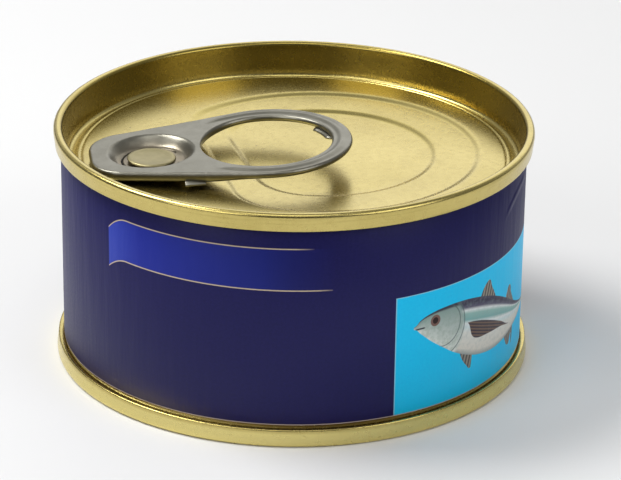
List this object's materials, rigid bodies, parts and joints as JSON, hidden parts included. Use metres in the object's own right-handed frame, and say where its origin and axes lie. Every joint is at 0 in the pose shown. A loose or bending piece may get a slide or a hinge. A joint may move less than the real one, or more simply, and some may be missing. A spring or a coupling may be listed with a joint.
{
  "type": "tuna can",
  "caption": "Low round tuna can with a ring-pull lid, two rolled seams and a dark blue paper label with a plain banner and a fish panel.",
  "frame": {"origin": "middle of the resting face of the bottom seam", "axes": "+Z along the can's axis, up through the lid; the front of the label faces -Y"},
  "size_m": [0.0686, 0.0686, 0.0347],
  "materials": {
    "gold_metal": "satin",
    "tab_steel": "satin",
    "label_paper": "satin"
  },
  "bodies": {
    "root": {"can_body": "gold_metal", "label": "label_paper", "lid": "gold_metal", "bottom_end": "gold_metal", "pull_tab": "tab_steel"}
  },
  "joints": []
}
